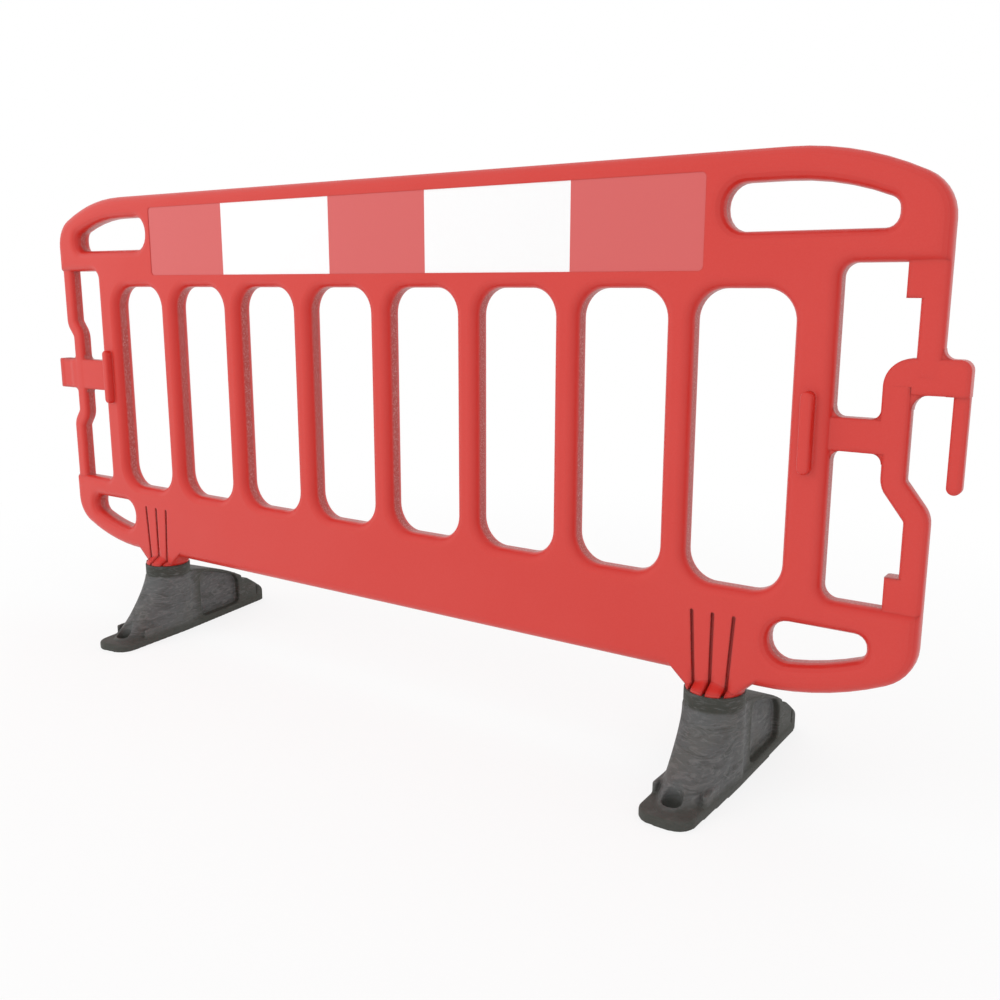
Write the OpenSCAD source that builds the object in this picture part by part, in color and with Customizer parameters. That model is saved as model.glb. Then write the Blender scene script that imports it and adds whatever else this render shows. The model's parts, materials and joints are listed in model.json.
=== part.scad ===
// Pedestrian barrier panel: a slotted blow-moulded panel on two swivelling rubber feet, with a drop-in
// hook at one end, a matching eye at the other, and red and white reflective film on both faces.
// X runs along the panel with the hook at +X, the front face looks to -Y, and the ground is Z = 0.

/* [Panel] */
// Length of the moulding without its hook and eye
panel_len = 1992; // [1780:1:2200]
// Height of the top edge above the ground
panel_top = 995; // [940:1:1090]
// Height of the bottom edge above the ground
panel_bottom = 184.5; // [180:0.5:200]
// Thickness of the moulding
panel_t = 48; // [46:1:56]
// Rounding of the edges of both faces
edge_r = 18; // [8:0.5:19]
// Radius of the long curve towards each corner
shoulder_r = 440; // [400:5:500]
// Length of the curved stretch at each end of the top and bottom edges
shoulder_run = 229; // [216:1:246]
// Radius at the end of the top edge
top_corner_r = 70; // [56:1:80]
// Radius at the end of the bottom edge
bottom_corner_r = 69; // [56:1:80]

/* [Slots] */
// Distance from one slot to the next
slot_pitch = 203.5; // [196:0.5:212]
// Width of a slot between its walls
slot_w = 159; // [140:1:164]
// Radius of a slot's corners
slot_corner_r = 48; // [30:1:60]
// Height of the rail above the slots
top_rail_h = 197.5; // [190:0.5:210]
// Height of the rail below the slots
bottom_rail_h = 154; // [150:0.5:170]
// Least width of the post between the last slot and the end window
post_w = 50; // [44:1:58]

/* [Hand holds] */
// Width of the rim outside each hand hold
hold_rim = 46.5; // [42:0.5:50]
// Distance from the end of the panel to a hand hold
hold_margin = 71; // [66:1:80]
// Length of the top hand holds
top_hold_len = 250; // [200:1:270]
// Length of the bottom hand holds
bottom_hold_len = 148; // [120:1:150]
// Distance from the top edge to the flat side of a top hand hold
top_hold_depth = 116; // [112:1:120]
// Distance from the bottom edge to the flat side of a bottom hand hold
bottom_hold_depth = 114; // [112:1:118]
// Corner radius at the outer end of a hand hold
hold_outer_r = 18; // [14:0.5:20]
// Corner radius at the inner end of a top hand hold
top_hold_inner_r = 33; // [24:0.5:36]
// Corner radius at the inner end of a bottom hand hold
bottom_hold_inner_r = 31; // [22:0.5:32]

/* [End frames] */
// Width of the window at each end of the panel
window_w = 143; // [136:1:148]
// Distance from the top edge to the window
window_top_drop = 162; // [156:1:168]
// Distance from the bottom edge to the window
window_bottom_rise = 159; // [154:1:166]
// Radius of the window's corners
window_corner_r = 20; // [14:1:24]
// Thickness of the bars in the window
frame_t = 30; // [28:1:34]
// How much thinner the level bars and the hook are than the upright bars
frame_step = 1; // [0.5:0.5:3]
// Rounding of the upright bars
frame_edge_r = 9; // [4:0.5:11]
// Width of the upright bars
bar_w = 35; // [30:1:38]
// Radius of the bends where an upright bar steps inwards
jog_r = 25; // [20:1:32]
// Tilt of an upright bar between its bends
jog_tilt = 38; // [30:1:45]
// Width of the small shoulders beside the hook bar
tab_w = 19; // [10:1:22]
// Height of the small shoulders beside the hook bar
tab_h = 48; // [30:1:60]

/* [Hook and eye] */
// Height of the coupling above the ground
link_z = 592; // [580:1:610]
// Reach of the hook and of the eye past the end of the panel
link_reach = 37.5; // [34:0.5:40]
// How far the bar behind the hook steps inwards
hook_jog = 36; // [32:1:40]
// How far the bar behind the eye steps inwards
eye_jog = 21; // [18:1:24]
// Height of the eye
eye_h = 70; // [60:1:80]
// Wall around the eye's hole
eye_wall = 4; // [3:0.5:4.5]
// Length of the eye's hole
eye_hole_len = 40; // [34:1:41]
// Corner radius of the eye's hole
eye_hole_r = 6; // [3:0.5:8]
// Height of the crossbar behind the hook
crossbar_h = 49; // [40:1:54]
// Width of the bar between the crossbar and the hook's arm
stem_w = 40; // [36:1:44]
// Height of the hook's arm
arm_h = 50; // [40:1:56]
// Gap between the eye and the arm of the next panel's hook
arm_lift = 27; // [20:1:34]
// Rounding of the hook's upper corner
hook_corner_r = 15; // [12:1:18]
// Rounding of the arm's inner upper corner
arm_corner_r = 39; // [30:1:40]
// Fillet inside the hook
hook_fillet_r = 22; // [12:1:24]
// Fillets where the bars behind the hook meet
bar_fillet_r = 14; // [8:1:18]
// Distance from the coupling down to the bends of the bar behind the hook
hook_bend_drop = 57; // [50:1:66]
// Width of the hook's prong
prong_w = 20.5; // [16:0.5:23]
// Thickness of the hook's prong
prong_t = 20; // [16:1:21]
// How far the prong reaches below the eye
prong_drop = 38; // [30:1:46]
// Fillets where the eye meets its bar
eye_fillet_r = 10; // [6:1:14]
// Rounding of the hook's edges
hook_edge_r = 4; // [2:0.5:6]

/* [Ribs] */
// Length of the upright rib on each post
rib_len = 122; // [100:1:140]
// How far the rib lies from the middle of its post
rib_shift = 0.6; // [-2:0.1:5]
// Width of the rib
rib_w = 19; // [14:1:22]
// How far the rib stands out from the front face
rib_proud = 16; // [10:1:20]
// Rounding of the rib's edge
rib_edge_r = 6; // [3:0.5:7]

/* [Reflective film] */
// Gap between the film and the top hand holds
film_gap = 26; // [24:1:40]
// Height of the film
film_h = 143; // [130:1:146]
// Distance from the top edge to the film
film_drop = 29; // [27:1:32]
// Length of each white tile
film_white_len = 300; // [260:1:330]
// Thickness of the film
film_t = 0.6; // [0.4:0.1:1]
// Depth of the recess that the film lies in
film_recess = 1.5; // [1.2:0.1:2.5]
// Corner radius of the recess
film_corner_r = 8; // [4:1:12]

/* [Necks] */
// Distance from the end of the panel to a foot's swivel axis
foot_inset = 307; // [298:1:316]
// Radius of the neck where it runs out in the panel's face
neck_top_r = 86; // [80:1:92]
// Radius of the lip that sits on the foot's collar
lip_r = 48; // [45:0.5:49]
// Height of the lip's straight edge
lip_h = 4; // [2:0.5:6]
// Height of the flare above the lip
flare_h = 16; // [10:1:22]
// Radius of the stub inside the foot's collar
stub_r = 34; // [30:1:36]
// Length of the stub below the lip
stub_len = 52; // [46:1:56]
// Length of the grooves on the neck
groove_len = 126; // [100:1:128]
// Width of a groove
groove_w = 6; // [4:0.5:8]
// Depth of a groove
groove_depth = 6; // [3:0.5:8]
// Distance between the grooves at their upper ends
groove_spread = 35.5; // [28:0.5:38]
// Distance between the grooves at the lip
groove_close = 27.5; // [22:0.5:30]

/* [Feet] */
// Height of the foot's collar above the ground
foot_h = 162; // [155:1:170]
// Width of the sole beside the swivel axis
foot_w = 104; // [103:1:112]
// Width of the sole at the toe
toe_w = 93; // [86:1:100]
// Width of the sole at the heel
heel_sole_w = 92; // [86:1:98]
// Reach of the toe from the swivel axis
toe_reach = 192; // [184:1:200]
// Reach of the heel from the swivel axis
heel_reach = 281; // [272:1:290]
// Corner radius of the toe
toe_corner_r = 32; // [26:1:38]
// Corner radius of the heel
heel_corner_r = 15; // [12:1:22]
// Thickness of the sole
sole_h = 16; // [14:0.5:20]
// Bevel along the sole's top edge
sole_bevel = 3; // [1:0.5:5]
// Radius of the foot's collar
collar_r = 50; // [49:0.5:51]
// Height of the collar's band
collar_h = 25; // [18:1:30]
// Step from the collar's band out to the boot below
collar_step = 1; // [0.5:0.5:2]
// How much wider the boot grows towards the sole
boot_spread = 0.3; // [0.1:0.1:1]
// Power of the curve that carries the boot's front out to the toe
boot_power = 1.35; // [1.2:0.05:2]
// Width of the heel
heel_w = 89; // [84:1:92]
// How far the sole stands out behind the heel
sole_lip = 1.5; // [1:0.5:3]
// Height of the heel's crowned top at the swivel axis
heel_top = 140; // [134:1:146]
// Height of the heel's crowned top at its end
heel_end_h = 32; // [28:1:36]
// Radius at the end of the heel
heel_end_r = 20; // [14:1:24]
// Distance from the swivel axis to the notch across the heel's top
notch_reach = 216; // [210:1:222]
// Radius of the notch
notch_r = 14; // [10:1:18]
// Depth of the notch
notch_depth = 5; // [3:0.5:7]
// Distance from the swivel axis to the slits in the heel
heel_slit_reach = 254; // [246:1:260]
// Height of the slits in the heel
heel_slit_h = 26; // [20:1:30]
// Thickness of the web inside the heel
web_t = 62; // [50:1:70]
// Width of the rim above the heel's pockets
heel_rim = 9; // [7:0.5:12]
// Distance from the swivel axis to the front of the pockets
pocket_front = 57; // [54:1:62]
// Distance from the swivel axis to the rear of the pockets
pocket_rear = 190; // [180:1:198]
// Radius at the rear of the pockets
pocket_rear_r = 35; // [28:1:40]
// Corner radius of the pockets
pocket_r = 13; // [8:0.5:15]
// Radius of the ground pin hole in the toe
pin_hole_r = 16; // [12:0.5:17]
// Distance from the swivel axis to the ground pin hole
pin_hole_reach = 145.5; // [140:0.5:150]
// Height of the lugs beside the toe
lug_h = 34; // [28:1:40]
// Thickness of a lug
lug_t = 8; // [6:0.5:9]
// Distance from the swivel axis to the front end of the lugs
lug_reach = 125; // [118:1:130]
// Length of the two lugs on one side, with the slit between them
lug_len = 66; // [56:1:70]
// Length of the rear lug
rear_lug_len = 11; // [8:0.5:14]
// Width of the slits between the lugs and in the heel
slit_w = 5; // [3:0.5:6]
// Turn of the left foot at rest
left_foot_turn = 7.5; // [-15:0.5:15]
// Turn of the right foot at rest
right_foot_turn = -0.5; // [-15:0.5:15]

/* [Pivot hardware] */
// Radius of the bolt's shank
bolt_r = 6; // [5:0.5:8]
// Width across the flats of the bolt head and the nut
hex_af = 19; // [17:0.5:24]
// Height of the bolt head
bolt_head_h = 7.5; // [6:0.5:9]
// Depth of the bolt head below the sole
bolt_recess = 4; // [2:0.5:6]
// Height of the nut
nut_h = 10.8; // [9:0.1:13]
// Radius of the washer
washer_r = 14; // [13:0.5:16]
// Thickness of the washer
washer_t = 2.5; // [2:0.1:3]
// Material of the stub below the nut
nut_floor = 12; // [9:0.5:16]
// Bolt beyond the nut
bolt_end = 5; // [3:0.5:8]

/* [Clearances] */
// Radial gap between the stub and the foot
swivel_gap = 0.5; // [0.3:0.1:1]
// Gap under the stub
stub_gap = 2; // [1:0.5:4]
// Radial gap around the bolt
bolt_gap = 0.5; // [0.3:0.1:1]
// Radial gap around the washer
washer_gap = 1; // [0.5:0.1:2]

/* [Hidden] */

$fn = 96;
hull_fn = 48;
overrun = 2;
// Depth of the band that an opening's edge tool clears inside the wall
edge_cover = 12;
// Lifts an edge rounding, and sinks the neck's block, so that neither lies exactly in a face
edge_ease = 0.12;
// Greatest distance between a curve and the straight steps that stand for it
chord_error = 0.3;

half_len = panel_len/2;
half_t = panel_t/2;
shoulder_x = half_len - shoulder_run;
top_arc_y = panel_top - shoulder_r;
bottom_arc_y = panel_bottom + shoulder_r;
top_corner_x = half_len - top_corner_r;
bottom_corner_x = half_len - bottom_corner_r;
// Height of a circle's middle that lies inside the long curve and touches it
function nested_rise(big_r, small_r, run) = sqrt(pow(big_r - small_r, 2) - pow(run, 2));
top_corner_rise = nested_rise(shoulder_r, top_corner_r, top_corner_x - shoulder_x);
bottom_corner_rise = nested_rise(shoulder_r, bottom_corner_r, bottom_corner_x - shoulder_x);
top_corner_a = atan2(top_corner_rise, top_corner_x - shoulder_x);
bottom_corner_a = atan2(bottom_corner_rise, bottom_corner_x - shoulder_x);

slot_top = panel_top - top_rail_h;
slot_bottom = panel_bottom + bottom_rail_h;
window_x = half_len - window_w;
window_top = panel_top - window_top_drop;
window_bottom = panel_bottom + window_bottom_rise;
slot_bar_w = slot_pitch - slot_w;
slot_count = floor((2*window_x - 2*post_w + slot_bar_w)/slot_pitch);

hold_out_x = half_len - hold_margin;
hold_arc_r = shoulder_r - hold_rim;
top_hold_in_x = hold_out_x - top_hold_len;
// The inner end keeps a short straight wall between its corners
top_inner_r = min(top_hold_inner_r, (top_hold_depth - hold_rim - overrun)/2);
bottom_hold_in_x = hold_out_x - bottom_hold_len;

bar_x = half_len - bar_w/2;
cross_t = frame_t - frame_step;
hook_stem_x = bar_x - hook_jog;
eye_bar_x = bar_x - eye_jog;
eye_top = link_z + eye_h/2;
eye_bottom = link_z - eye_h/2;
arm_bottom = eye_top + arm_lift;
arm_top = arm_bottom + arm_h;
prong_tip = eye_bottom - prong_drop;
prong_out_x = half_len + link_reach;
rib_x = (window_x + (slot_count*slot_pitch - slot_bar_w)/2)/2 - rib_shift;

film_half = top_hold_in_x - film_gap;
film_y = panel_top - film_drop - film_h/2;
film_red_len = (2*film_half - 2*film_white_len)/3;
film_lens = [film_red_len, film_white_len, film_red_len, film_white_len, film_red_len];
film_face = half_t - film_recess;

foot_x = half_len - foot_inset;
stub_bottom = foot_h - stub_len;
socket_floor = stub_bottom - stub_gap;
head_seat = bolt_recess + bolt_head_h;
counterbore = head_seat + washer_t;
nut_bottom = stub_bottom + nut_floor;
bolt_top = nut_bottom + nut_h + bolt_end;
hex_r = hex_af/2/cos(30);

body_red = "#d6504a";
film_red = "#db6664";
film_white = "#fafafa";
rubber_grey = "#5c5b58";
zinc = "#c3c6c9";

// Half of a plate's cross-section with a rounded outer edge, from the middle out to reach
module nose_section(reach, thick, round_r) {
    translate([0, -thick/2]) square([reach - round_r, thick]);
    translate([0, -thick/2 + round_r]) square([reach, thick - 2*round_r]);
    for (side = [-1, 1])
        translate([reach - round_r, side*(thick/2 - round_r)]) circle(round_r);
}

// A bar's cross-section with four rounded corners
module bar_section(wide, thick, round_r) {
    square([wide - 2*round_r, thick], center = true);
    square([wide, thick - 2*round_r], center = true);
    for (x = [-1, 1], y = [-1, 1])
        translate([x*(wide/2 - round_r), y*(thick/2 - round_r)]) circle(round_r);
}

// A flat rounded rectangle
module rounded_rectangle(size, round_r) {
    square([size.x - 2*round_r, size.y], center = true);
    square([size.x, size.y - 2*round_r], center = true);
    for (x = [-1, 1], y = [-1, 1])
        translate([x*(size.x/2 - round_r), y*(size.y/2 - round_r)]) circle(round_r);
}

// A slice of a disc with a rounded rim
module rounded_pie(radius, thick, round_r, from_a, to_a) {
    rotate(from_a) rotate_extrude(angle = to_a - from_a) nose_section(radius, thick, round_r);
}

// What a rounded opening takes away beside its wall, with the wall at x = 0
module opening_section() {
    difference() {
        translate([-edge_cover, -half_t - overrun]) square([edge_cover + edge_r, panel_t + 2*overrun]);
        for (side = [-1, 1])
            translate([edge_r, side*(half_t - edge_r + edge_ease)]) circle(edge_r);
        translate([0, edge_r - half_t]) square([edge_r + overrun, panel_t - 2*edge_r]);
    }
}

function arc_point(arc, radius, a) = [arc[0] + radius*cos(a), arc[1] + radius*sin(a)];

// An opening through the moulding with rounded edges on both faces. Each corner is an arc given as
// [middle x, middle y, radius, start angle, end angle], anticlockwise, and straight walls join them.
module radiused_opening(arcs) {
    corner_steps = 4;
    core_inset = edge_cover/2;
    linear_extrude(panel_t + 2*overrun, center = true)
        polygon([for (arc = arcs, i = [0 : corner_steps])
            arc_point(arc, arc[2] - core_inset, arc[3] + (arc[4] - arc[3])*i/corner_steps)]);
    for (i = [0 : len(arcs) - 1]) {
        arc = arcs[i];
        next = arcs[(i + 1) % len(arcs)];
        wall_len = norm(arc_point(next, next[2], next[3]) - arc_point(arc, arc[2], arc[4]));
        translate([arc[0], arc[1], 0]) {
            rotate(arc[3]) rotate_extrude(angle = arc[4] - arc[3]) translate([arc[2], 0]) opening_section();
            if (wall_len > edge_ease)
                rotate(arc[4]) translate([arc[2], 0, 0]) rotate([-90, 0, 0])
                    linear_extrude(wall_len) opening_section();
        }
    }
}

// Faces of a skin over rings that all have the same number of points, with both ends closed
function skin_faces(rings, points) = concat(
    [[for (i = [0 : points - 1]) i]],
    [for (ring = [0 : rings - 2], i = [0 : points - 1], half = [0, 1])
        let (here = ring*points, above = here + points, next = (i + 1) % points)
        half == 0 ? [here + i, above + i, above + next] : [here + i, above + next, here + next]],
    [[for (i = [points - 1 : -1 : 0]) (rings - 1)*points + i]]
);

// The rounded edge of a face and of an opening, as [how far the outline grows, height] from the middle up
rim_steps = 4;
function round_edge(grow, lift) = [
    for (i = [0 : rim_steps]) let (a = 90*i/rim_steps)
        [grow*edge_r*(1 - cos(a)), half_t - edge_r + lift + edge_r*sin(a)]
];
function both_sides(levels) = concat(
    [for (i = [len(levels) - 1 : -1 : 0]) [levels[i][0], -levels[i][1]]],
    levels
);
plate_levels = both_sides(round_edge(-1, 0));
opening_levels = both_sides(concat(round_edge(1, edge_ease), [[edge_r, half_t + overrun]]));

// An outline of arcs as one skin, for arcs that run straight into each other
function arc_steps(arc) = ceil((arc[4] - arc[3])/2/acos(1 - chord_error/arc[2]));
module lofted(arcs, levels) {
    stations = [for (arc = arcs, i = [0 : arc_steps(arc)])
        [arc, arc[3] + (arc[4] - arc[3])*i/arc_steps(arc)]];
    polyhedron([for (level = levels, station = stations)
            [each arc_point(station[0], station[0][2] + level[0], station[1]), level[1]]],
        skin_faces(len(levels), len(stations)));
}

function rectangle_arcs(x0, y0, x1, y1, corner_r) = [
    [x1 - corner_r, y0 + corner_r, corner_r, -90, 0],
    [x1 - corner_r, y1 - corner_r, corner_r, 0, 90],
    [x0 + corner_r, y1 - corner_r, corner_r, 90, 180],
    [x0 + corner_r, y0 + corner_r, corner_r, 180, 270],
];

// The hand hold's outer side follows the long curve of the panel's edge
top_hold_out = [hold_out_x - hold_outer_r - shoulder_x,
    nested_rise(hold_arc_r, hold_outer_r, hold_out_x - hold_outer_r - shoulder_x)];
top_hold_out_a = atan2(top_hold_out.y, top_hold_out.x);
top_hold_sill = panel_top - top_hold_depth;
top_hold_arcs = [
    [hold_out_x - hold_outer_r, top_hold_sill + hold_outer_r, hold_outer_r, -90, 0],
    [hold_out_x - hold_outer_r, top_arc_y + top_hold_out.y, hold_outer_r, 0, top_hold_out_a],
    [shoulder_x, top_arc_y, hold_arc_r, top_hold_out_a, 90],
    [top_hold_in_x + top_inner_r, panel_top - hold_rim - top_inner_r, top_inner_r, 90, 180],
    [top_hold_in_x + top_inner_r, top_hold_sill + top_inner_r, top_inner_r, 180, 270],
];

bottom_hold_in = [bottom_hold_in_x + bottom_hold_inner_r - shoulder_x,
    nested_rise(hold_arc_r, bottom_hold_inner_r, bottom_hold_in_x + bottom_hold_inner_r - shoulder_x)];
bottom_hold_in_a = atan2(bottom_hold_in.y, bottom_hold_in.x);
bottom_hold_lintel = panel_bottom + bottom_hold_depth;
bottom_hold_arcs = [
    [shoulder_x, bottom_arc_y, hold_arc_r, -bottom_hold_in_a, -top_hold_out_a],
    [hold_out_x - hold_outer_r, bottom_arc_y - top_hold_out.y, hold_outer_r, -top_hold_out_a, 0],
    [hold_out_x - hold_outer_r, bottom_hold_lintel - hold_outer_r, hold_outer_r, 0, 90],
    [bottom_hold_in_x + bottom_hold_inner_r, bottom_hold_lintel - bottom_hold_inner_r,
        bottom_hold_inner_r, 90, 180],
    [bottom_hold_in_x + bottom_hold_inner_r, bottom_arc_y - bottom_hold_in.y,
        bottom_hold_inner_r, 180, 360 - bottom_hold_in_a],
];

// Everything from here to the panel module lies flat: X along the panel, Y up it, Z out of the front
module both_ends() {
    for (end = [0, 1]) mirror([end, 0, 0]) children();
}

module both_faces() {
    for (face = [0, 1]) mirror([0, 0, face]) children();
}

// The plain moulding with rounded outer edges
slab_end_arcs = [
    [shoulder_x, bottom_arc_y, shoulder_r, -90, -bottom_corner_a],
    [bottom_corner_x, bottom_arc_y - bottom_corner_rise, bottom_corner_r, -bottom_corner_a, 0],
    [top_corner_x, top_arc_y + top_corner_rise, top_corner_r, 0, top_corner_a],
    [shoulder_x, top_arc_y, shoulder_r, top_corner_a, 90],
];
module slab() {
    lofted(concat(slab_end_arcs, [for (i = [len(slab_end_arcs) - 1 : -1 : 0]) let (arc = slab_end_arcs[i])
        [-arc[0], arc[1], arc[2], 180 - arc[4], 180 - arc[3]]]), plate_levels);
}

module slots_and_holds() {
    for (i = [0 : slot_count - 1]) {
        mid_x = (i - (slot_count - 1)/2)*slot_pitch;
        radiused_opening(
            rectangle_arcs(mid_x - slot_w/2, slot_bottom, mid_x + slot_w/2, slot_top, slot_corner_r));
    }
    both_ends() {
        lofted(top_hold_arcs, opening_levels);
        lofted(bottom_hold_arcs, opening_levels);
        radiused_opening(
            rectangle_arcs(window_x, window_bottom, window_x + 2*window_w, window_top, window_corner_r));
    }
}

module film_recesses() {
    both_faces() translate([0, film_y, film_face]) linear_extrude(film_recess + overrun)
        rounded_rectangle([2*film_half, film_h], film_corner_r);
}

// An upright bar of the end frames, from one height to another
module upright_bar(mid_x, from_y, to_y, wide, thick = frame_t, round_r = frame_edge_r) {
    translate([mid_x, to_y, 0]) rotate([90, 0, 0])
        linear_extrude(to_y - from_y) bar_section(wide, thick, round_r);
}

// A level bar of the end frames
module level_bar(mid_y, from_x, to_x, high, thick = frame_t, round_r = frame_edge_r) {
    translate([from_x, mid_y, 0]) rotate([90, 0, 90])
        linear_extrude(to_x - from_x) bar_section(high, thick, round_r);
}

// Two bends share the whole shift if it is small, and otherwise leave a straight stretch between them
function jog_angle(shift) = min(jog_tilt, acos(1 - shift/2/jog_r));
function jog_height(shift) = let (a = jog_angle(shift))
    2*jog_r*sin(a) + (shift - 2*jog_r*(1 - cos(a)))/tan(a);

// Stations [x, y, heading] along two bends that lead up from [x0 + shift, y0] to x = x0
bend_steps = 5;
function jog_stations(x0, y0, shift) = let (a = jog_angle(shift)) concat(
    [for (i = [0 : bend_steps]) let (turn = a*i/bend_steps)
        [x0 + shift - jog_r + jog_r*cos(turn), y0 + jog_r*sin(turn), turn]],
    [for (i = [1 : bend_steps]) let (turn = a*(1 - i/bend_steps))
        [x0 + jog_r - jog_r*cos(turn), y0 + jog_height(shift) - jog_r*sin(turn), turn]]
);

// The same bends led up the other way, from [x0, y0] to x = x0 + shift
function outward_stations(x0, y0, shift) = [
    for (station = jog_stations(0, 0, shift)) [x0 + shift - station.x, y0 + station.y, -station.z]
];

// Points round a bar's cross-section, anticlockwise
bar_corner_steps = 4;
bar_points = 4*(bar_corner_steps + 1);
function bar_ring(wide, thick, round_r) = [
    for (quarter = [0 : 3], i = [0 : bar_corner_steps])
        let (a = 90*(quarter + i/bar_corner_steps), middle = [wide/2 - round_r, thick/2 - round_r],
            right = quarter == 0 || quarter == 3 ? 1 : -1, front = quarter < 2 ? 1 : -1)
        [right*middle.x + round_r*cos(a), front*middle.y + round_r*sin(a)]
];

// A bar swept upwards through its stations
module swept_bar(stations) {
    ring = bar_ring(bar_w, frame_t, frame_edge_r);
    polyhedron([for (station = stations, point = ring)
            [station.x + point.x*cos(station.z), station.y + point.x*sin(station.z), point.y]],
        [for (face = skin_faces(len(stations), bar_points)) [for (i = [len(face) - 1 : -1 : 0]) face[i]]]);
}

// Fills the square inner corner between two bars with a round fillet, whose corner is at the origin
module corner_fillet(radius, thick) {
    linear_extrude(thick, center = true) difference() {
        translate([-overrun, -overrun]) square(radius + overrun);
        translate([radius, radius]) circle(radius);
    }
}

module hook_end() {
    root = window_corner_r;
    jog_base = link_z - hook_bend_drop - jog_height(hook_jog);
    stem_in_x = hook_stem_x + bar_w/2 - stem_w;
    arm_y = (arm_top + arm_bottom)/2;
    inner_corner = [stem_in_x + arm_corner_r, arm_top - arm_corner_r];
    corner = [prong_out_x - hook_corner_r, arm_top - hook_corner_r];
    prong_x = prong_out_x - prong_w/2;
    fillet_t = cross_t - 2*hook_edge_r;
    upright_bar(bar_x, arm_y, window_top + root, bar_w);
    swept_bar(concat([[bar_x, window_bottom - root, 0]], jog_stations(hook_stem_x, jog_base, hook_jog),
        [[hook_stem_x, inner_corner.y, 0]]));
    upright_bar((stem_in_x + hook_stem_x)/2, link_z, inner_corner.y, hook_stem_x - stem_in_x,
        cross_t, hook_edge_r);
    level_bar(link_z, window_x - root, hook_stem_x, crossbar_h, cross_t, hook_edge_r);
    for (tab = [[window_top - tab_h, window_top + root], [window_bottom - root, window_bottom + tab_h]])
        upright_bar(bar_x - bar_w/2 - tab_w/2 + frame_edge_r/2, tab[0], tab[1], tab_w + frame_edge_r,
            cross_t, hook_edge_r);
    level_bar(arm_y, inner_corner.x, corner.x, arm_h, cross_t, hook_edge_r);
    translate(inner_corner) rounded_pie(arm_corner_r, cross_t, hook_edge_r, 90, 180);
    translate(corner) rounded_pie(hook_corner_r, cross_t, hook_edge_r, 0, 90);
    upright_bar(corner.x, arm_bottom, corner.y, 2*hook_corner_r, cross_t, hook_edge_r);
    upright_bar(prong_x, prong_tip + prong_w/2, arm_y, prong_w, prong_t, hook_edge_r);
    translate([prong_x, prong_tip + prong_w/2, 0]) rounded_pie(prong_w/2, prong_t, hook_edge_r, 180, 360);
    translate([hook_stem_x + bar_w/2, arm_bottom]) rotate(-90) corner_fillet(hook_fillet_r, fillet_t);
    translate([bar_x + bar_w/2, arm_top]) corner_fillet(bar_fillet_r, fillet_t);
    for (edge = [-1, 1]) {
        edge_y = link_z + edge*crossbar_h/2;
        translate([window_x, edge_y]) rotate(45*(edge - 1)) corner_fillet(bar_fillet_r, fillet_t);
        translate([edge > 0 ? stem_in_x : hook_stem_x - bar_w/2, edge_y]) rotate(135 - 45*edge)
            corner_fillet(bar_fillet_r, fillet_t);
    }
}

// Drawn at +X and mirrored into place
module eye_end() {
    root = window_corner_r;
    jog_gap = eye_h/2 + 2*jog_r;
    hole_x = prong_out_x - 2*eye_wall - eye_hole_len/2;
    swept_bar(concat([[bar_x, window_bottom - root, 0]],
        jog_stations(eye_bar_x, link_z - jog_gap - jog_height(eye_jog), eye_jog),
        outward_stations(eye_bar_x, link_z + jog_gap, eye_jog), [[bar_x, window_top + root, 0]]));
    difference() {
        level_bar(link_z, window_x - root, prong_out_x, eye_h, cross_t, hook_edge_r);
        translate([hole_x, link_z, 0]) rotate([90, 0, 0]) linear_extrude(eye_h + 2*overrun, center = true)
            rounded_rectangle([eye_hole_len, frame_t - 2*eye_wall], eye_hole_r);
    }
    for (side = [-1, 1], edge = [-1, 1])
        translate([eye_bar_x + side*bar_w/2, link_z + edge*eye_h/2, 0])
            rotate(edge > 0 ? 45 - 45*side : 225 + 45*side)
                corner_fillet(eye_fillet_r, cross_t - 2*hook_edge_r);
}

// An upright rib with a rounded front edge
module rib() {
    straight = rib_len - rib_w;
    root = edge_r;
    translate([rib_x, link_z, half_t + rib_proud]) mirror([0, 0, 1]) {
        rotate([90, 0, 0]) linear_extrude(straight, center = true)
            rib_section(root);
        for (end = [-1, 1]) translate([0, end*straight/2, 0]) rotate_extrude()
            intersection() {
                rib_section(root);
                square([rib_w, rib_proud + root]);
            }
    }
}

module rib_section(root) {
    depth = rib_proud + root;
    translate([-rib_w/2, rib_edge_r]) square([rib_w, depth - rib_edge_r]);
    translate([rib_edge_r - rib_w/2, 0]) square([rib_w - 2*rib_edge_r, depth]);
    for (side = [-1, 1]) translate([side*(rib_w/2 - rib_edge_r), rib_edge_r]) circle(rib_edge_r);
}

// The neck tapers from the flat panel to a round lip on the foot's collar, with a stub inside the collar
module neck() {
    block_t = panel_t - 2*edge_ease;
    block_top = panel_bottom + edge_r + overrun;
    cone_bottom = foot_h + lip_h;
    translate([foot_x, 0, 0]) {
        intersection() {
            translate([-neck_top_r, -block_t/2, foot_h]) cube([2*neck_top_r, block_t, block_top - foot_h]);
            translate([0, 0, cone_bottom]) cylinder(block_top - cone_bottom, lip_r, neck_top_r);
        }
        translate([0, 0, foot_h]) cylinder(lip_h, lip_r, lip_r);
        translate([0, 0, cone_bottom]) cylinder(flare_h, lip_r, half_t - overrun);
        translate([0, 0, stub_bottom]) cylinder(foot_h - stub_bottom + lip_h, stub_r, stub_r);
    }
}

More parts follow.
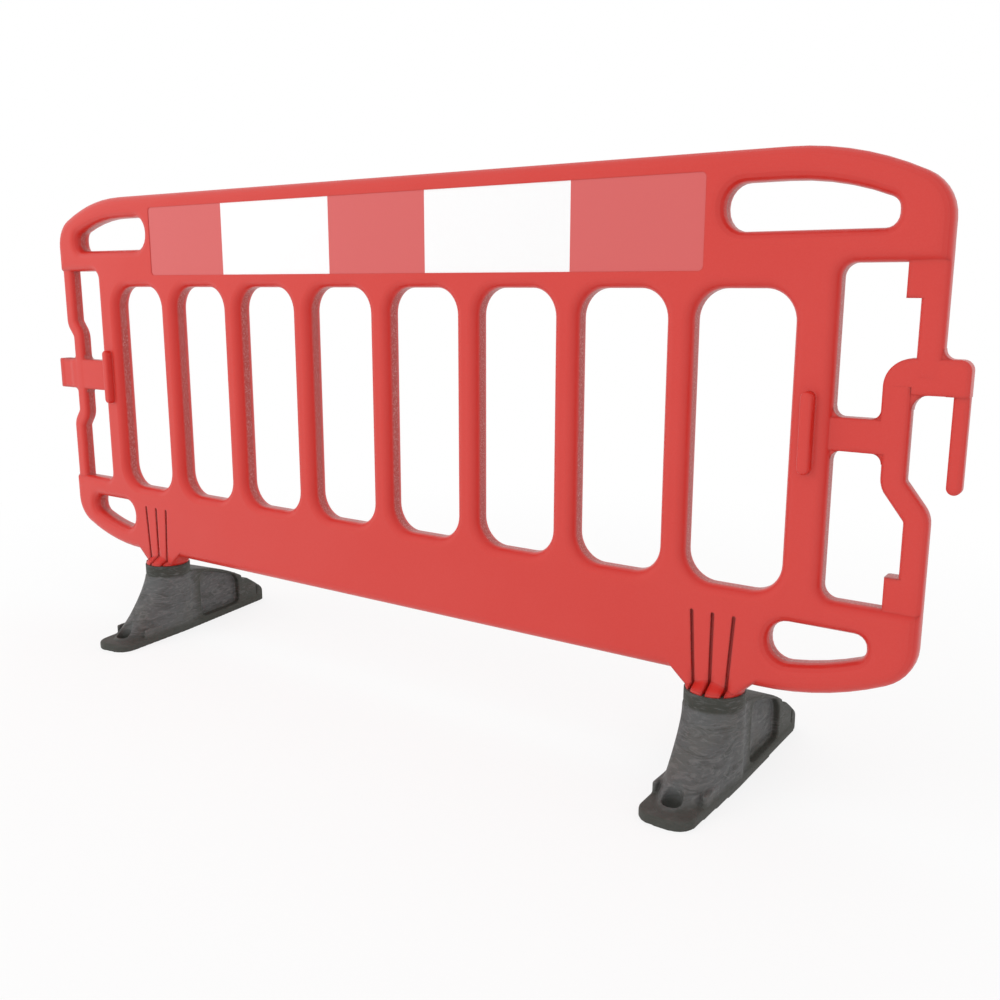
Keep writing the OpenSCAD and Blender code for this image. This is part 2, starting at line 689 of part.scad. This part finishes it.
// Three grooves on each face of a neck, drawn together towards the lip
module neck_grooves() {
    groove_top = foot_h + lip_h + groove_len;
    for (face = [0, 1], place = [-1, 0, 1]) mirror([0, face, 0]) {
        upper = [foot_x + place*groove_spread, groove_top];
        lower = [foot_x + place*groove_close, foot_h - overrun];
        tilt = atan2(upper.x - lower.x, upper.y - lower.y);
        translate([lower.x, groove_depth - half_t, lower.y]) rotate([0, tilt, 0]) {
            translate([-groove_w/2, -lip_r, 0]) cube([groove_w, lip_r, norm(upper - lower)]);
            translate([0, 0, norm(upper - lower)]) rotate([90, 0, 0]) cylinder(lip_r, groove_w/2, groove_w/2);
        }
    }
}

module nut_pocket() {
    translate([foot_x, 0, nut_bottom]) cylinder(nut_h, hex_r, hex_r, $fn = 6);
    translate([foot_x, 0, stub_bottom - overrun])
        cylinder(bolt_top - stub_bottom + 2*overrun, bolt_r + bolt_gap, bolt_r + bolt_gap);
}

module panel_moulding() {
    color(body_red) {
        difference() {
            rotate([90, 0, 0]) slab();
            rotate([90, 0, 0]) {
                slots_and_holds();
                film_recesses();
            }
            both_ends() neck_grooves();
        }
        rotate([90, 0, 0]) {
            hook_end();
            mirror([1, 0, 0]) eye_end();
            both_ends() rib();
        }
        both_ends() difference() {
            neck();
            neck_grooves();
            nut_pocket();
        }
    }
}

// One tile of film, counted from the eye end
module film_tile(face, tile) {
    before = [for (i = [0 : 1 : tile - 1]) film_lens[i]];
    start = -film_half + (tile > 0 ? before*[for (length = before) 1] : 0);
    color(tile % 2 == 0 ? film_red : film_white) mirror([0, face, 0]) rotate([90, 0, 0])
        translate([0, film_y, film_face]) linear_extrude(film_t) intersection() {
            rounded_rectangle([2*film_half, film_h], film_corner_r);
            translate([start, -film_h/2]) square([film_lens[tile], film_h]);
        }
}

// The six round corners that the sole is drawn around, each drawn in by inset
module sole_corners(inset) {
    waist_r = toe_corner_r;
    for (corner = [[toe_w, -toe_reach + toe_corner_r, toe_corner_r], [foot_w, 0, waist_r],
            [heel_sole_w, heel_reach - heel_corner_r, heel_corner_r]], side = [-1, 1])
        translate([side*(corner[0]/2 - corner[2]), corner[1]]) circle(corner[2] - inset, $fn = hull_fn);
}

module sole() {
    hull() {
        linear_extrude(sole_h - sole_bevel) sole_corners(0);
        linear_extrude(sole_h) sole_corners(sole_bevel);
    }
}

// The boot's rings are half circles behind the swivel axis and half ellipses in front of it, which
// reach further out towards the toe the lower they lie
column_top = foot_h - collar_h;
column_r = collar_r + collar_step;
boot_rings = 14;
boot_points = 64;
function boot_half_w(z) = column_r + boot_spread*(1 - z/column_top);
function boot_reach(z) = column_r + (toe_reach - column_r)*pow(1 - z/column_top, boot_power);
function boot_ring(z) = [
    for (i = [0 : boot_points - 1])
        let (a = 360*i/boot_points)
        [boot_half_w(z)*cos(a), (a > 180 ? boot_reach(z) : boot_half_w(z))*sin(a), z]
];

module boot() {
    base = sole_h/2;
    polyhedron([for (ring = [0 : boot_rings]) each boot_ring(base + (column_top - base)*ring/boot_rings)],
        skin_faces(boot_rings + 1, boot_points));
}

// The heel's top falls ever more steeply towards its end
heel_end_y = heel_reach - sole_lip;
function heel_crown(y) = heel_top - (heel_top - heel_end_h)*pow(y/heel_end_y, 2);

// Side of the heel behind the swivel axis, drawn with the heel to the right
module heel_outline() {
    crown_steps = 12;
    end_steps = 5;
    end_slope = atan(2*(heel_top - heel_end_h)/heel_end_y);
    end_z = heel_end_h - heel_end_r*tan((90 - end_slope)/2);
    crown_end_y = heel_end_y - heel_end_r*(1 - sin(end_slope));
    polygon(concat(
        [[0, 0], [heel_end_y, 0]],
        [for (i = [0 : end_steps]) let (a = (90 - end_slope)*i/end_steps)
            [heel_end_y - heel_end_r*(1 - cos(a)), end_z + heel_end_r*sin(a)]],
        [for (i = [crown_steps - 1 : -1 : 0]) let (y = crown_end_y*i/crown_steps) [y, heel_crown(y)]]
    ));
}

// Pocket in each side of the heel, below a rim that follows the heel's top
module pocket_outline() {
    front_y = pocket_front + pocket_r;
    rear_y = pocket_rear - pocket_rear_r;
    low_z = sole_h + pocket_r;
    hull() {
        for (y = [front_y, (front_y + rear_y)/2])
            translate([y, heel_crown(y) - heel_rim - pocket_r]) circle(pocket_r, $fn = hull_fn);
        translate([rear_y, heel_crown(rear_y) - heel_rim - pocket_rear_r])
            circle(pocket_rear_r, $fn = hull_fn);
        for (y = [front_y, pocket_rear - pocket_r]) translate([y, low_z]) circle(pocket_r, $fn = hull_fn);
    }
}

module heel() {
    slit_z = sole_h + sole_bevel;
    difference() {
        translate([-heel_w/2, 0, 0]) rotate([90, 0, 90]) linear_extrude(heel_w) heel_outline();
        translate([0, notch_reach, heel_crown(notch_reach) + notch_r - notch_depth]) rotate([0, 90, 0])
            cylinder(heel_w + 2*overrun, notch_r, notch_r, center = true);
        for (side = [0, 1]) mirror([side, 0, 0]) {
            translate([web_t/2, 0, 0]) rotate([90, 0, 90]) linear_extrude(foot_w) pocket_outline();
            translate([heel_w/2 - slit_w, heel_slit_reach, slit_z]) cube([foot_w, slit_w, heel_slit_h]);
        }
    }
}

// Two upright lugs in line on each edge of the toe, with a slit between them
module toe_lugs() {
    front_lug_len = lug_len - rear_lug_len - slit_w;
    round_r = lug_t/2;
    rear_lug_y = lug_len - rear_lug_len - lug_reach;
    for (side = [-1, 1], lug = [[-lug_reach, front_lug_len], [rear_lug_y, rear_lug_len]])
        translate([side*(toe_w/2 - round_r), lug[0], 0]) {
            translate([0, round_r, 0]) cylinder(lug_h, round_r, round_r);
            translate([-round_r, round_r, 0]) cube([lug_t, lug[1] - round_r, lug_h]);
        }
}

// A foot with its swivel axis on Z and its toe towards -Y
module foot() {
    difference() {
        union() {
            sole();
            boot();
            cylinder(foot_h, collar_r, collar_r);
            heel();
            toe_lugs();
        }
        translate([0, 0, socket_floor]) cylinder(foot_h, stub_r + swivel_gap, stub_r + swivel_gap);
        translate([0, 0, -overrun]) cylinder(foot_h, bolt_r + bolt_gap, bolt_r + bolt_gap);
        translate([0, 0, -overrun])
            cylinder(counterbore + overrun, washer_r + washer_gap, washer_r + washer_gap);
        translate([0, -pin_hole_reach, -overrun]) cylinder(foot_h, pin_hole_r, pin_hole_r);
    }
}

module left_foot() {
    color(rubber_grey) translate([-foot_x, 0, 0]) rotate(left_foot_turn) foot();
}

module right_foot() {
    color(rubber_grey) translate([foot_x, 0, 0]) rotate(right_foot_turn) foot();
}

module pivot_bolt(side) {
    color(zinc) translate([side*foot_x, 0, 0]) {
        translate([0, 0, bolt_recess]) cylinder(bolt_head_h, hex_r, hex_r, $fn = 6);
        translate([0, 0, bolt_recess]) cylinder(bolt_top - bolt_recess, bolt_r, bolt_r);
    }
}

module pivot_washer(side) {
    color(zinc) translate([side*foot_x, 0, head_seat]) difference() {
        cylinder(washer_t, washer_r, washer_r);
        translate([0, 0, -overrun]) cylinder(washer_t + 2*overrun, bolt_r + bolt_gap, bolt_r + bolt_gap);
    }
}

module captive_nut(side) {
    color(zinc) translate([side*foot_x, 0, nut_bottom]) difference() {
        cylinder(nut_h, hex_r, hex_r, $fn = 6);
        translate([0, 0, -overrun]) cylinder(nut_h + 2*overrun, bolt_r, bolt_r);
    }
}

panel_moulding();
left_foot();
right_foot();
for (side = [["left", -1], ["right", 1]]) {
    pivot_bolt(side[1]);
    pivot_washer(side[1]);
    captive_nut(side[1]);
}
for (face = [["front", 0], ["back", 1]]) {
    film_tile(face[1], 0);
    film_tile(face[1], 1);
    film_tile(face[1], 2);
    film_tile(face[1], 3);
    film_tile(face[1], 4);
}
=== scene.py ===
import json
import math

import bpy
import numpy as np
from mathutils import Matrix, Vector


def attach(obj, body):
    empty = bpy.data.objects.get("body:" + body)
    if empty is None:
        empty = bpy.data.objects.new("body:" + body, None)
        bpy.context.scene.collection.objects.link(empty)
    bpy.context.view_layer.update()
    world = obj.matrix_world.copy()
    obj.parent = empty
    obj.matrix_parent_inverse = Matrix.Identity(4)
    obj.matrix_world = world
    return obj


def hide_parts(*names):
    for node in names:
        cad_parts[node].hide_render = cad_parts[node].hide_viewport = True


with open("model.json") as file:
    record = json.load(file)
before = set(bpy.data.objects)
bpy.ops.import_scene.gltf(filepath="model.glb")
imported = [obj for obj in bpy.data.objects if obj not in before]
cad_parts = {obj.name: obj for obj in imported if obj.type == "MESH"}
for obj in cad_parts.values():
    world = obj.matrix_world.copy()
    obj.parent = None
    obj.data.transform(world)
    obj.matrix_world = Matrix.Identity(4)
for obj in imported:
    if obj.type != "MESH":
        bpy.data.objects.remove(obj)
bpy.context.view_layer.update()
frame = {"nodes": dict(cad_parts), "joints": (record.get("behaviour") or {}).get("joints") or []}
nodes = frame["nodes"]

# Panel moulding: one hollow blow moulding of red polyethylene, with slots, hand holds, end frames,
# hook, eye, ribs and necks in one piece. Its skin has the fine grain of the mould. Painted shade gives a
# deeper red on rounded edges and in the grooves, and a darker red on the walls of its openings, where pale
# specks are painted highlights of lit grain.


class Tint:
    """A socket of a finish. Sums, differences and products of tints add Math nodes."""

    def __init__(self, tree, socket=None):
        self.tree = tree
        self.socket = socket

    def node(self, kind, settings=None, inputs=None, output=0):
        made = self.tree.nodes.new(kind)
        for name, value in (settings or {}).items():
            setattr(made, name, value)
        for name, value in (inputs or {}).items():
            if isinstance(value, Tint):
                self.tree.links.new(value.socket, made.inputs[name])
            else:
                made.inputs[name].default_value = value
        return Tint(self.tree, made.outputs[output])

    def axis(self, letter):
        """One coordinate of a vector."""
        return self.node("ShaderNodeSeparateXYZ", None, {0: self}, letter)

    def maths(self, operation, first, second=0):
        return self.node("ShaderNodeMath", {"operation": operation}, {0: first, 1: second})

    def __add__(self, other):
        return self.maths("ADD", self, other)

    def __radd__(self, other):
        return self.maths("ADD", other, self)

    def __sub__(self, other):
        return self.maths("SUBTRACT", self, other)

    def __rsub__(self, other):
        return self.maths("SUBTRACT", other, self)

    def __mul__(self, other):
        return self.maths("MULTIPLY", self, other)

    def __rmul__(self, other):
        return self.maths("MULTIPLY", other, self)

    def size(self):
        return self.maths("ABSOLUTE", self)

    def most(self, other):
        return self.maths("MAXIMUM", self, other)

    def between(self, low, high):
        """0 below low, 1 above high, and smooth in between."""
        return self.node("ShaderNodeMapRange", {"interpolation_type": "SMOOTHSTEP"},
                         {"Value": self, "From Min": low, "From Max": high})

    def noise(self, where, scale, detail=2.0, distortion=0.0, roughness=0.5):
        return self.node("ShaderNodeTexNoise", None, {
            "Vector": where, "Scale": scale, "Detail": detail, "Distortion": distortion,
            "Roughness": roughness})

    def blend(self, share, first, second):
        """second over first, colour by colour, by a share from 0 to 1."""
        return self.node("ShaderNodeMix", {"data_type": "RGBA"}, {0: share, 6: first, 7: second}, output=2)

    def bump(self, height, strength, distance, over=None):
        inputs = {"Height": height, "Strength": strength, "Distance": distance}
        if over is not None:
            inputs["Normal"] = over
        return self.node("ShaderNodeBump", None, inputs)


def linear(red, green, blue):
    """A screen colour, 0 to 255, as the linear colour that the shaders take."""
    return tuple(((c/255 + 0.055)/1.055)**2.4 for c in (red, green, blue)) + (1,)


def finish(name, **fixed):
    """A new material with its surface shader, and a tint to draw its pattern with."""
    material = bpy.data.materials.new(name)
    material.use_nodes = True
    tree = material.node_tree
    surface = tree.nodes["Principled BSDF"]
    for socket, value in fixed.items():
        surface.inputs[socket.replace("_", " ")].default_value = value
    return material, surface, Tint(tree)


def feed(surface, **patterns):
    """Links each pattern to the shader's socket of that name."""
    for socket, pattern in patterns.items():
        pattern.tree.links.new(pattern.socket, surface.inputs[socket.replace("_", " ")])


def coat(piece, material):
    """Gives a piece this one material."""
    piece.data.materials.clear()
    piece.data.materials.append(material)


panel_red = linear(213, 55, 46)
panel_red_cloud = linear(215, 63, 55)
edge_shade_red = linear(209, 38, 27)
wall_shade_red = linear(154, 58, 53)
wall_glint_pale = linear(250, 224, 220)
groove_shade_red = linear(122, 26, 22)
soft_edge_r = 0.005
frame_soft_r = 0.012
frame_start = 0.86
rim_low, rim_high, rim_end = 0.2, 0.965, 0.975
neck_top = 0.185
neck_x = 0.689
groove_half_span = 0.038
groove_low, groove_high = 0.165, 0.295
groove_floor, face_y = 0.0195, 0.0235

moulded_red, surface, tint = finish("moulded_red_plastic", IOR=1.5)
where = tint.node("ShaderNodeTexCoord", output="Object")
facing = tint.node("ShaderNodeTexCoord", output="Normal").axis("Y")
along, depth, height = where.axis("X").size(), where.axis("Y").size(), where.axis("Z")
cloud = tint.noise(where, 5.0, 3.0)
grain = tint.noise(where, 900.0, 3.0)
speckle = tint.noise(where, 430.0, 5.0, roughness=0.78)
steep = 1 - facing.size()
# Painted shade: rounded edges take a deeper red as they turn away from the front.
rounded = steep.between(0.0, 0.45)
off_ends = 1 - along.between(rim_end - 0.02, rim_end)
off_top = 1 - height.between(rim_high - 0.025, rim_high)
inner = height.between(rim_low, rim_low + 0.03)*off_top*off_ends
# Painted shade: the walls of the openings, turned across the face, are darkened to a deeper red.
wall = steep.between(0.72, 1.0)*(1 - depth.between(face_y - 0.001, face_y))*(0.2 + 0.8*inner)
# Painted highlight: pale specks on those walls stand for lit grain glinting.
pale = wall*speckle.between(0.5, 0.64)*0.36
uneven = cloud.between(0.3, 0.7)*0.4 + speckle.between(0.4, 0.65)*0.5
clouded = tint.blend(uneven, panel_red, panel_red_cloud)
skin = tint.blend(rounded*0.9, clouded, edge_shade_red)
walled = tint.blend(pale, tint.blend(wall*0.65, skin, wall_shade_red), wall_glint_pale)
across_neck = 1 - (along - neck_x).size().between(groove_half_span, groove_half_span + 0.004)
below_end = 1 - height.between(groove_high - 0.005, groove_high)
up_neck = height.between(groove_low, groove_low + 0.007)*below_end
# Painted shade: the neck grooves are darkened inside.
groove_shade_mask = (1 - depth.between(groove_floor, face_y))*across_neck*up_neck
softer = along.between(frame_start, frame_start + 0.02).most(1 - height.between(neck_top, neck_top + 0.015))
soft_edge = tint.node("ShaderNodeBevel", {"samples": 8},
                      {"Radius": soft_edge_r + softer*(frame_soft_r - soft_edge_r)})
feed(surface,
     Base_Color=tint.blend(groove_shade_mask*0.5, walled, groove_shade_red),
     Roughness=0.28 + grain*0.14,
     Normal=tint.bump(grain, 0.2, 0.0006, soft_edge))
coat(nodes["panel_moulding"], moulded_red)

# Reflective film: five tiles of prismatic sheeting on each face, red and white in turn. Each lies in the
# shallow recess of the moulding, under a clear smooth top skin, with fine cells that meet in diamonds.


def prismatic(name, colour, cell_colour):
    """Clear-skinned film of one colour, with a darker net of cell walls."""
    cell = 0.0042
    material, surface, tint = finish(name, IOR=1.5, Coat_Weight=0.35, Coat_Roughness=0.12)
    where = tint.node("ShaderNodeTexCoord", output="Object")
    place, height = where.axis("X"), where.axis("Z")
    rising = tint.maths("COSINE", (place + height)*(2*math.pi/cell))
    falling = tint.maths("COSINE", (place - height)*(2*math.pi/cell))
    walls = rising.most(falling).between(0.9, 1.0)
    sheen = tint.noise(where, 3.0)
    feed(surface,
         Base_Color=tint.blend(walls*0.35 + sheen*0.1, colour, cell_colour),
         Roughness=0.3 + walls*0.15,
         Normal=tint.bump(walls, 0.08, 0.0002))
    return material


film_finishes = {
    "red": prismatic("red_prismatic_film", linear(217, 92, 90), linear(206, 76, 73)),
    "white": prismatic("white_prismatic_film", linear(253, 253, 253), linear(246, 247, 248)),
}
for name, tile in nodes.items():
    for colour, material in film_finishes.items():
        if f"_{colour}_film_" in name:
            coat(tile, material)

# Feet: solid mouldings of ground and pressed recycled rubber, heavy enough to hold the panel up. The
# charcoal rubber is marbled by the way it flowed in the press. It is darker on the collar, it has painted
# shade along the sole and round the heel's rim, and every edge is soft.

rubber_grey = linear(91, 92, 92)
rubber_dark = linear(62, 63, 60)
rubber_pale = linear(122, 122, 121)
rubber_olive = linear(58, 59, 52)
rubber_warm = linear(98, 95, 88)
collar_foot = 0.1365
sole_top = 0.016

foot_rubber, surface, tint = finish("marbled_recycled_rubber", IOR=1.5, Specular_IOR_Level=0.35)
where = tint.node("ShaderNodeTexCoord", output="Object")
height = where.axis("Z")
flow = tint.node("ShaderNodeMapping", None,
                 {"Vector": where, "Rotation": (0.16, 0.22, 0.0), "Scale": (0.28, 0.28, 1.0)})
swirl = tint.noise(flow, 24.0, 5.0, 3.0, 0.6)
streak = tint.noise(flow, 95.0, 6.0, 2.2, 0.62)
wrinkle = tint.noise(flow, 60.0, 6.0, 3.0, 0.62)
crumb = tint.noise(where, 800.0, 3.0)
patch = tint.noise(where, 14.0, 3.0)
collar = height.between(collar_foot - 0.003, collar_foot + 0.002)
# Painted shade: the sole's band next to the floor is darkened.
sole = 1 - height.between(sole_top - 0.004, sole_top + 0.014)
veins = streak.between(0.46, 0.68)
lines = wrinkle.between(0.55, 0.62)*(1 - wrinkle.between(0.62, 0.7))
marbled = tint.blend(swirl.between(0.46, 0.7)*0.65, rubber_grey, rubber_dark)
veined = tint.blend(veins*0.55, marbled, rubber_pale)
creased = tint.blend(lines*0.4, veined, rubber_dark)
warm = tint.blend(patch.between(0.5, 0.72)*0.35, creased, rubber_warm)
# Painted shade: a darker olive round the heel's rim, where the pocket's corner lies in shade.
heel_rim_shade = tint.node("ShaderNodeAttribute", {"attribute_name": "heel_rim_shade"}, output="Fac")
darker = tint.blend(heel_rim_shade*(0.8 - veins*0.3), warm, rubber_olive)
feed(surface,
     Base_Color=tint.blend((collar*(0.9 - veins*0.5)).most(sole*0.75), darker, rubber_olive),
     Roughness=0.55 + crumb*0.2,
     Normal=tint.bump(crumb*0.25 + streak*0.5 - lines*0.7, 0.4, 0.0014))


def between(values, low, high):
    """0 below low, 1 above high, and smooth in between, for an array."""
    share = np.clip((values - low)/(high - low), 0, 1)
    return share*share*(3 - 2*share)


# The boot's front has two soft upright ridges, and a crease parts the collar's band from the boot
rubber_grid = 0.0019
boot_half_w = 0.0512
boot_toe = 0.192
boot_power = 1.35
ridge_power = 2.8
ridge_low, ridge_full, ridge_high = 0.03, 0.06, 0.105
collar_crease = 0.0013
crease_half_h = 0.0022
band_r = 0.048
web_half_t = 0.031
for side in ("left", "right"):
    shape = bpy.data.objects.new(f"{side}_foot_rubber", nodes[f"{side}_foot"].data.copy())
    bpy.context.scene.collection.objects.link(shape)
    grid = shape.modifiers.new("grid", "REMESH")
    grid.mode = "VOXEL"
    grid.voxel_size = rubber_grid
    soften = shape.modifiers.new("soften", "SMOOTH")
    soften.factor = 0.5
    soften.iterations = 6
    softened = shape.evaluated_get(bpy.context.evaluated_depsgraph_get())
    moulded = bpy.data.meshes.new_from_object(softened)
    shape.modifiers.clear()
    shape.data = moulded

    # The foot's own axes: across and along it from the pivot, whatever its turn at rest
    swivel = next(joint for joint in frame["joints"] if joint["child"] == f"{side}_foot")
    rest_turn = -math.radians(sum(swivel["range_deg"])/2)
    cos_turn, sin_turn = math.cos(rest_turn), math.sin(rest_turn)
    unturn = np.array([[cos_turn, sin_turn], [-sin_turn, cos_turn]])
    points = np.empty(3*len(moulded.vertices))
    moulded.vertices.foreach_get("co", points)
    points = points.reshape(-1, 3)
    flat = (points[:, :2] - swivel["pos_m"][:2]) @ unturn.T
    up = points[:, 2]

    # Ridges: the boot's oval section turns squarer, inside the oval, between the toe and the collar
    reach = boot_half_w + (boot_toe - boot_half_w)*(1 - np.clip(up/collar_foot, 0, 1))**boot_power
    oval = np.column_stack([flat[:, 0]/boot_half_w, flat[:, 1]/reach])
    out = np.maximum(np.linalg.norm(oval, axis=1), 0.01)
    squarer = between(up, ridge_low, ridge_full)*(1 - between(up, ridge_high, collar_foot))
    power = 2 + (ridge_power - 2)*squarer
    across, ahead = np.abs(oval/out[:, None]).T
    ridge = (across**power + ahead**power)**(-1/power)*2**(1/power - 0.5)
    on_boot = (1 - between(np.abs(out - 1), 0.06, 0.14))*between(-flat[:, 1], 0.0, 0.03)
    flat *= (1 + on_boot*(ridge - 1))[:, None]

    # Crease round the foot of the collar, fading out towards the heel
    round_r = np.linalg.norm(flat, axis=1)
    on_band = between(round_r, band_r - 0.003, band_r)*(1 - between(flat[:, 1], 0.02, 0.035))
    crease = collar_crease*on_band*np.exp(-((up - collar_foot)/crease_half_h)**2)
    flat *= (1 - crease/np.maximum(round_r, 0.01))[:, None]

    # Painted shade: marks the heel's rim beside the web, whose corner lies in shade, for a darker tint.
    beside_web = between(np.abs(flat[:, 0]), web_half_t + 0.001, web_half_t + 0.003)
    shaded_heel_rim = between(flat[:, 1], 0.03, 0.05)*beside_web
    moulded.attributes.new("heel_rim_shade", "FLOAT", "POINT").data.foreach_set("value", shaded_heel_rim)
    points[:, :2] = flat @ unturn + swivel["pos_m"][:2]
    moulded.vertices.foreach_set("co", points.ravel())
    moulded.polygons.foreach_set("use_smooth", [True]*len(moulded.polygons))
    coat(shape, foot_rubber)
    lighten = shape.modifiers.new("lighten", "DECIMATE")
    lighten.ratio = 0.4
    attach(shape, f"{side}_foot")
    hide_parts(f"{side}_foot")

# Pivot hardware: a zinc-plated bolt up through each sole, its washer in the counterbore, and the nut in
# the panel's stub. The plating has pale spangles and a satin sheen.

zinc_grey = linear(176, 180, 186)
zinc_pale = linear(214, 216, 219)

zinc_steel, surface, tint = finish("zinc_plated_steel", Metallic=1.0)
where = tint.node("ShaderNodeTexCoord", output="Object")
spangle = tint.node("ShaderNodeTexVoronoi", None, {"Vector": where, "Scale": 420.0}, "Color")
shade = tint.node("ShaderNodeSeparateColor", None, {0: spangle}, "Red")
feed(surface,
     Base_Color=tint.blend(shade, zinc_grey, zinc_pale),
     Roughness=0.28 + shade*0.16)
for name, piece in nodes.items():
    if name.endswith(("_bolt", "_washer", "_nut")):
        coat(piece, zinc_steel)

# Stage: a plain white floor that runs out of sight, soft light from all round, and one large soft lamp
# at the front left. The floor turns plain white away from the object and keeps its shadow close to it.


def background_rays(tint):
    """1 for the rays that show the background: straight to the camera, by gloss or through glass."""
    share = tint.node("ShaderNodeLightPath", output="Is Camera Ray")
    for kind in ("Is Glossy Ray", "Is Transmission Ray"):
        share = share.most(tint.node("ShaderNodeLightPath", output=kind))
    return share


floor_reach = 30.0
floor_corners = [(x*floor_reach, y*floor_reach, 0) for x, y in ((-1, -1), (1, -1), (1, 1), (-1, 1))]
floor_mesh = bpy.data.meshes.new("floor")
floor_mesh.from_pydata(floor_corners, [], [(0, 1, 2, 3)])
floor = bpy.data.objects.new("floor", floor_mesh)
bpy.context.scene.collection.objects.link(floor)
paper, surface, tint = finish("white_paper", Base_Color=(0.95, 0.95, 0.95, 1), Roughness=0.9)
where = tint.node("ShaderNodeTexCoord", output="Object")
distance = tint.node("ShaderNodeVectorMath", {"operation": "LENGTH"}, {0: where}, "Value")
glow = tint.node("ShaderNodeEmission", None, {"Color": (1, 1, 1, 1), "Strength": 1.0})
lit = Tint(tint.tree, surface.outputs[0])
shadow_reach, white_from = 0.9, 2.4
bright = background_rays(tint)*(0.8 + 0.2*distance.between(shadow_reach, white_from))
mixed = tint.node("ShaderNodeMixShader", None, {0: bright, 1: lit, 2: glow})
tint.tree.links.new(mixed.socket, tint.tree.nodes["Material Output"].inputs["Surface"])
floor_mesh.materials.append(paper)

world = bpy.data.worlds.new("studio")
bpy.context.scene.world = world
world.use_nodes = True
sky = Tint(world.node_tree)
white = sky.node("ShaderNodeBackground", None, {"Color": (1, 1, 1, 1), "Strength": 1.0})
ambient = sky.node("ShaderNodeBackground", None, {"Color": (1, 1, 1, 1), "Strength": 0.89})
dome = sky.node("ShaderNodeMixShader", None, {0: background_rays(sky), 1: ambient, 2: white})
world.node_tree.links.new(dome.socket, world.node_tree.nodes["World Output"].inputs["Surface"])

lamp = bpy.data.lights.new("soft_lamp", "AREA")
lamp.shape = "RECTANGLE"
lamp.size = 3.0
lamp.size_y = 2.2
lamp.energy = 36.0
lamp_place = Vector((-2.8, -3.2, 2.2))
lamp_aim = Vector((0, 0, 0.55))
lamp_object = bpy.data.objects.new("soft_lamp", lamp)
lamp_object.visible_glossy = False
bpy.context.scene.collection.objects.link(lamp_object)
lamp_turn = (lamp_aim - lamp_place).to_track_quat("-Z", "Y").to_matrix().to_4x4()
lamp_object.matrix_world = Matrix.Translation(lamp_place) @ lamp_turn

# Camera: at the photograph's view, a little above mid-height and in front of the hook end.

eye = Vector((1.2993, -1.5055, 0.7980))
turn, dip, roll = math.radians(34.508), math.radians(11.613), math.radians(0.112)
forward = Vector((-math.sin(turn)*math.cos(dip), math.cos(turn)*math.cos(dip), -math.sin(dip)))
level = Vector((math.cos(turn), math.sin(turn), 0))
upright = level.cross(forward)
right = math.cos(roll)*level + math.sin(roll)*upright
up = math.cos(roll)*upright - math.sin(roll)*level
camera = bpy.data.cameras.new("camera")
camera.sensor_width = 36.0
camera.lens = 37.23
camera_object = bpy.data.objects.new("camera", camera)
bpy.context.scene.collection.objects.link(camera_object)
camera_turn = Matrix((right, up, -forward)).transposed().to_4x4()
camera_object.matrix_world = Matrix.Translation(eye) @ camera_turn
bpy.context.scene.camera = camera_object
bpy.context.scene.view_settings.view_transform = "Standard"
